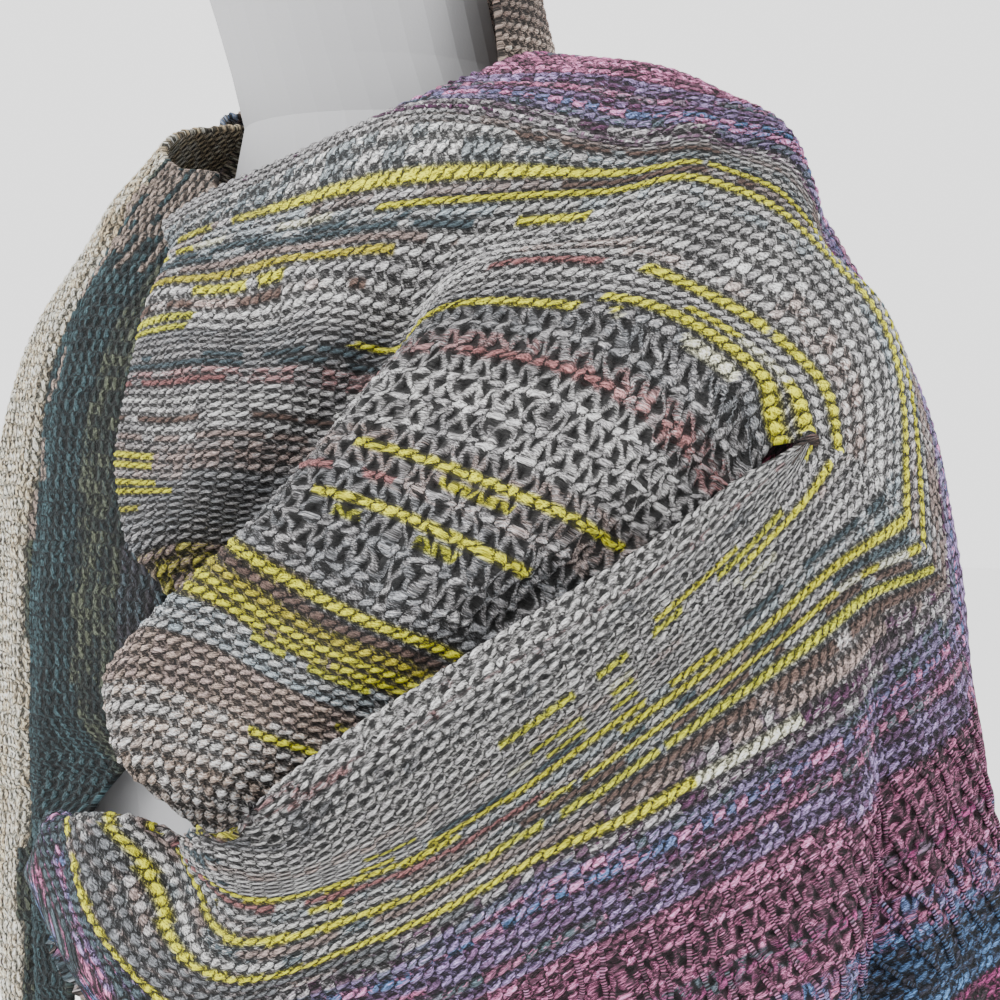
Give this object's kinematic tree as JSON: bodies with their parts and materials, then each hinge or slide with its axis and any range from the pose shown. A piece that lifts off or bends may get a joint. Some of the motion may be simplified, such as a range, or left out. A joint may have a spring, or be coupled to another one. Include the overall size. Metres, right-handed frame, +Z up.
{
  "type": "asymmetric knitted shawl on a limbless dress form",
  "caption": "Wide knitted shawl wound asymmetrically over the shoulders of a limbless dress form, rolled across the front with a long end on the far side.",
  "frame": {"origin": "centre of the flat foot of the dress form, on the floor", "axes": "+Z up, the form faces -Y, +X is the wearer's left"},
  "size_m": [0.4881, 0.3928, 0.776],
  "materials": {
    "knit_grey_lace": "matt",
    "knit_striped": "matt",
    "knit_back": "matt",
    "knit_beige_teal": "matt",
    "knit_collar": "matt",
    "form_linen": "matt"
  },
  "bodies": {
    "root": {"front_cowl": "knit_grey_lace", "front_wrap": "knit_striped", "back_drape": "knit_back", "far_end": "knit_beige_teal", "neck_stand": "knit_collar", "dress_form": "form_linen"}
  },
  "joints": []
}
